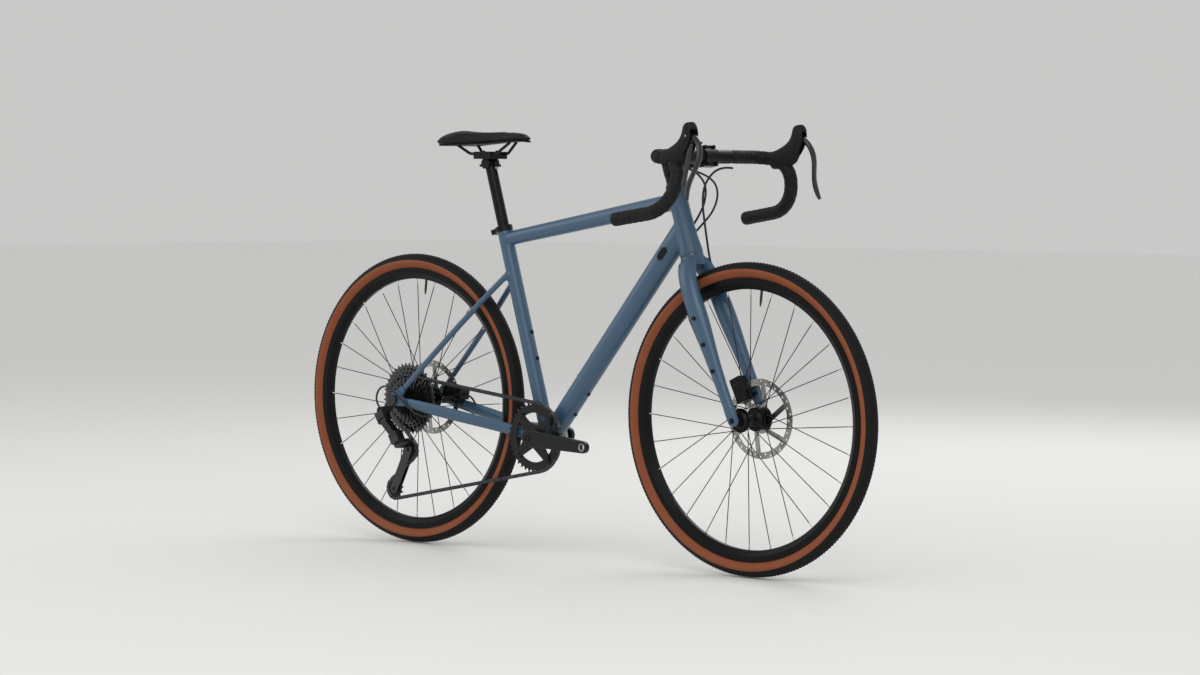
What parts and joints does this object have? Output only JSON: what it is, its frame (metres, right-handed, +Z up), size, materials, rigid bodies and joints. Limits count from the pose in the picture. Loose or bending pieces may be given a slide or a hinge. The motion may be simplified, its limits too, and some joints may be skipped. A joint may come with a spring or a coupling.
{
  "type": "gravel bike",
  "caption": "Drop-bar gravel bike with disc brakes, wide tan-wall tyres, single chainring, rear derailleur, steering fork and turning wheels.",
  "frame": {"origin": "on the ground halfway between the two wheel axles, in the bike's middle plane", "axes": "+X forward, +Y to the rider's left, +Z up"},
  "size_m": [1.7439, 0.4888, 1.0103],
  "materials": {
    "frame_paint": "satin petrol blue",
    "black_alloy": "satin black anodised",
    "fitting_steel": "black bolts",
    "tyre": "black tread with tan sidewalls",
    "spoke_steel": "black spokes with silver nipples",
    "rotor_steel": "ground steel",
    "drive_steel": "dark nickel",
    "bar_grip": "matte",
    "hose": "smooth",
    "black_plastic": "matte",
    "lever_alloy": "satin grey",
    "saddle_cover": "matte",
    "pad_compound": "dull"
  },
  "bodies": {
    "frame": {"head_tube": "frame_paint", "top_tube": "frame_paint", "down_tube": "frame_paint", "seat_tube": "frame_paint", "bottom_bracket_shell": "frame_paint", "rear_stays": "frame_paint", "dropouts": "frame_paint", "frame_fittings": "fitting_steel", "seat_clamp": "black_alloy", "frame_bearings": "black_alloy", "rear_axle": "black_alloy", "rear_caliper": "black_alloy", "derailleur_hanger": "black_alloy", "derailleur_knuckle": "black_alloy", "rear_brake_hose": "hose", "shift_housing": "hose", "chain": "drive_steel"},
    "steering": {"fork_steerer": "frame_paint", "fork_legs": "frame_paint", "headset_spacers": "black_alloy", "stem": "black_alloy", "stem_faceplate": "black_alloy", "steering_bolts": "fitting_steel", "handlebar": "black_alloy", "bar_tape": "bar_grip", "brake_hoods": "bar_grip", "front_caliper": "black_alloy", "front_axle": "black_alloy", "front_brake_hose": "hose"},
    "left_lever": {"brake_lever_left": "lever_alloy"},
    "right_lever": {"brake_lever_right": "lever_alloy"},
    "shift_paddle": {"shift_paddle": "black_plastic"},
    "front_wheel": {"front_tyre": "tyre", "front_rim": "black_alloy", "front_hub": "black_alloy", "front_spokes": "spoke_steel", "front_rotor": "rotor_steel"},
    "rear_wheel": {"rear_tyre": "tyre", "rear_rim": "black_alloy", "rear_hub": "black_alloy", "rear_spokes": "spoke_steel", "rear_rotor": "rotor_steel"},
    "cassette": {"cassette": "drive_steel"},
    "crankset": {"crank_arm_right": "black_alloy", "crank_arm_left": "black_alloy", "chainring": "black_alloy"},
    "outer_link": {"outer_link": "black_alloy"},
    "inner_link": {"inner_link": "black_alloy"},
    "cage_knuckle": {"cage_knuckle": "black_alloy"},
    "derailleur_cage": {"derailleur_cage": "black_alloy"},
    "guide_pulley": {"guide_pulley": "black_plastic"},
    "tension_pulley": {"tension_pulley": "black_plastic"},
    "seat": {"seatpost": "black_alloy", "saddle_clamp": "black_alloy", "saddle_base": "black_plastic", "saddle_pad": "saddle_cover"},
    "front_pad_inner": {"front_pad_inner": "pad_compound"},
    "front_pad_outer": {"front_pad_outer": "pad_compound"},
    "rear_pad_inner": {"rear_pad_inner": "pad_compound"},
    "rear_pad_outer": {"rear_pad_outer": "pad_compound"}
  },
  "joints": [
    {"name": "steer", "type": "hinge", "parent": "frame", "child": "steering", "pos_m": [0.35139, 0, 0.71122], "axis": [-0.309, 0, 0.9511], "range_deg": [-60, 60], "deforming": ["rear_brake_hose", "shift_housing"]},
    {"name": "front_wheel_spin", "type": "hinge", "parent": "steering", "child": "front_wheel", "pos_m": [0.521, 0, 0.351], "axis": [0, 1, 0], "continuous": true},
    {"name": "rear_wheel_spin", "type": "hinge", "parent": "frame", "child": "rear_wheel", "pos_m": [-0.521, 0, 0.351], "axis": [0, 1, 0], "continuous": true},
    {"name": "crank_turn", "type": "hinge", "parent": "frame", "child": "crankset", "pos_m": [-0.086, 0, 0.281], "axis": [0, 1, 0], "continuous": true, "deforming": ["chain"]},
    {"name": "cassette_spin", "type": "hinge", "parent": "frame", "child": "cassette", "pos_m": [-0.521, 0, 0.351], "axis": [0, 1, 0], "continuous": true},
    {"name": "left_brake", "type": "hinge", "parent": "steering", "child": "left_lever", "pos_m": [0.50525, 0.194, 0.97938], "axis": [0, 1, 0], "range_deg": [0, 10], "stiffness_Nm_per_rad": 1, "springref_deg": -6.88},
    {"name": "right_brake", "type": "hinge", "parent": "steering", "child": "right_lever", "pos_m": [0.50525, -0.194, 0.97938], "axis": [0, 1, 0], "range_deg": [0, 10], "stiffness_Nm_per_rad": 1, "springref_deg": -6.88},
    {"name": "shift_push", "type": "hinge", "parent": "right_lever", "child": "shift_paddle", "pos_m": [0.50825, -0.194, 0.96438], "axis": [1, 0, 0], "range_deg": [0, 12], "stiffness_Nm_per_rad": 0.3, "springref_deg": -8.59},
    {"name": "gear_shift", "type": "hinge", "parent": "frame", "child": "outer_link", "pos_m": [-0.534, -0.103, 0.301], "axis": [-0.8616, 0, -0.5075], "range_deg": [-19, 38], "deforming": ["chain", "shift_housing"]},
    {"name": "inner_link_swing", "type": "hinge", "parent": "frame", "child": "inner_link", "pos_m": [-0.534, -0.09, 0.301], "axis": [-0.8616, 0, -0.5075], "range_deg": [-19, 38]},
    {"name": "cage_knuckle_swing", "type": "hinge", "parent": "outer_link", "child": "cage_knuckle", "pos_m": [-0.51438, -0.08659, 0.26769], "axis": [-0.8616, 0, -0.5075], "range_deg": [-38, 19]},
    {"name": "cage_swing", "type": "hinge", "parent": "cage_knuckle", "child": "derailleur_cage", "pos_m": [-0.51038, -0.0446, 0.24419], "axis": [0, 1, 0], "range_deg": [-10, 20]},
    {"name": "guide_spin", "type": "hinge", "parent": "derailleur_cage", "child": "guide_pulley", "pos_m": [-0.50779, -0.0367, 0.22812], "axis": [0, 1, 0], "continuous": true},
    {"name": "tension_spin", "type": "hinge", "parent": "derailleur_cage", "child": "tension_pulley", "pos_m": [-0.55641, -0.0367, 0.13056], "axis": [0, 1, 0], "continuous": true},
    {"name": "seat_height", "type": "slide", "parent": "frame", "child": "seat", "axis": [-0.2849, 0, 0.9586], "range_m": [-0.05, 0.06]},
    {"name": "front_pad_inner_close", "type": "slide", "parent": "steering", "child": "front_pad_inner", "axis": [0, 1, 0], "range_m": [0, 0.0003]},
    {"name": "front_pad_outer_close", "type": "slide", "parent": "steering", "child": "front_pad_outer", "axis": [0, -1, 0], "range_m": [0, 0.0003]},
    {"name": "rear_pad_inner_close", "type": "slide", "parent": "frame", "child": "rear_pad_inner", "axis": [0, 1, 0], "range_m": [0, 0.0003]},
    {"name": "rear_pad_outer_close", "type": "slide", "parent": "frame", "child": "rear_pad_outer", "axis": [0, -1, 0], "range_m": [0, 0.0003]}
  ],
  "couplings": [
    {"joint": "cassette_spin", "follows": "crank_turn", "ratio": 1.4286},
    {"joint": "guide_spin", "follows": "crank_turn", "ratio": -3.3333},
    {"joint": "tension_spin", "follows": "crank_turn", "ratio": 3.3333},
    {"joint": "inner_link_swing", "follows": "gear_shift", "ratio": 1},
    {"joint": "cage_knuckle_swing", "follows": "gear_shift", "ratio": -1},
    {"joint": "cage_swing", "follows": "gear_shift", "ratio": 0.5},
    {"joint": "front_pad_inner_close", "follows": "left_brake", "m_per_rad": 0.0017},
    {"joint": "front_pad_outer_close", "follows": "left_brake", "m_per_rad": 0.0017},
    {"joint": "rear_pad_inner_close", "follows": "right_brake", "m_per_rad": 0.0017},
    {"joint": "rear_pad_outer_close", "follows": "right_brake", "m_per_rad": 0.0017}
  ]
}
